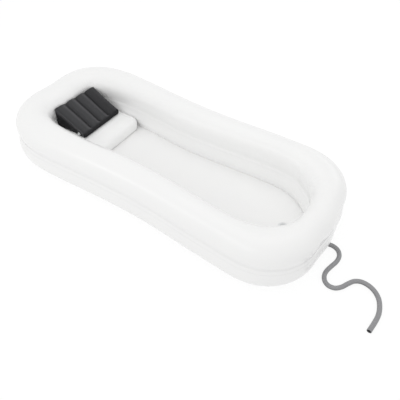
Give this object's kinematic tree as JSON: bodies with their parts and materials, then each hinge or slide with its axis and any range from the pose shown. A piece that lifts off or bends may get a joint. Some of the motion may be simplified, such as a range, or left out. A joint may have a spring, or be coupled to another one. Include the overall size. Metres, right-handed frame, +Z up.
{
  "type": "inflatable bathtub",
  "caption": "long waisted inflatable bath for lying in, with stacked air rings, a built-in headrest, a channelled wedge pillow, and a plugged drain with its hose",
  "frame": {"origin": "on the ground under the middle of the air rings; the hose runs on past them", "axes": "+X along the bath towards the foot and the hose, the head end at -X; +Y across, away from the picture's near side; +Z up"},
  "size_m": [2.486, 0.9334, 0.3155],
  "materials": {
    "white_vinyl": "soft satin PVC film",
    "valve_plastic": "moulded soft PVC, slightly matte",
    "charcoal_vinyl": "matte charcoal PVC film",
    "grey_hose": "flexible PVC hose",
    "plug_rubber": "moulded black rubber"
  },
  "bodies": {
    "tub": {"upper_air_ring": "white_vinyl", "lower_air_ring": "white_vinyl", "bath_floor": "white_vinyl", "headrest_cushion": "white_vinyl", "upper_ring_valve": "valve_plastic", "lower_ring_valve": "valve_plastic", "headrest_valve": "valve_plastic", "drain_body": "valve_plastic", "drain_backnut": "valve_plastic", "drain_hose": "grey_hose"},
    "pillow": {"wedge_pillow": "charcoal_vinyl", "pillow_valve": "valve_plastic"},
    "plug": {"drain_plug": "plug_rubber"},
    "upper_ring_valve_cap_body": {"upper_ring_valve_cap": "valve_plastic"},
    "lower_ring_valve_cap_body": {"lower_ring_valve_cap": "valve_plastic"},
    "headrest_valve_cap_body": {"headrest_valve_cap": "valve_plastic"},
    "pillow_valve_cap_body": {"pillow_valve_cap": "valve_plastic"}
  },
  "joints": [
    {"name": "wedge_pillow_lift", "type": "slide", "parent": "tub", "child": "pillow", "axis": [0, 0, 1], "range_m": [0, 0.3]},
    {"name": "drain_plug_pull", "type": "slide", "parent": "tub", "child": "plug", "axis": [0, 0, 1], "range_m": [0, 0.06]},
    {"name": "upper_ring_valve_cap_hinge", "type": "hinge", "parent": "tub", "child": "upper_ring_valve_cap_body", "pos_m": [-0.14998, 0.43716, 0.24119], "axis": [0.999, -0.0451, 0], "range_deg": [0, 150]},
    {"name": "lower_ring_valve_cap_hinge", "type": "hinge", "parent": "tub", "child": "lower_ring_valve_cap_body", "pos_m": [-0.14946, 0.44927, 0.10937], "axis": [0.999, -0.0442, 0], "range_deg": [0, 150]},
    {"name": "headrest_valve_cap_hinge", "type": "hinge", "parent": "tub", "child": "headrest_valve_cap_body", "pos_m": [-0.5184, -0.16087, 0.1332], "axis": [-1, 0, 0], "range_deg": [0, 150]},
    {"name": "pillow_valve_cap_hinge", "type": "hinge", "parent": "pillow", "child": "pillow_valve_cap_body", "pos_m": [-0.63732, -0.1483, 0.1493], "axis": [-1, 0, 0], "range_deg": [0, 150]}
  ]
}
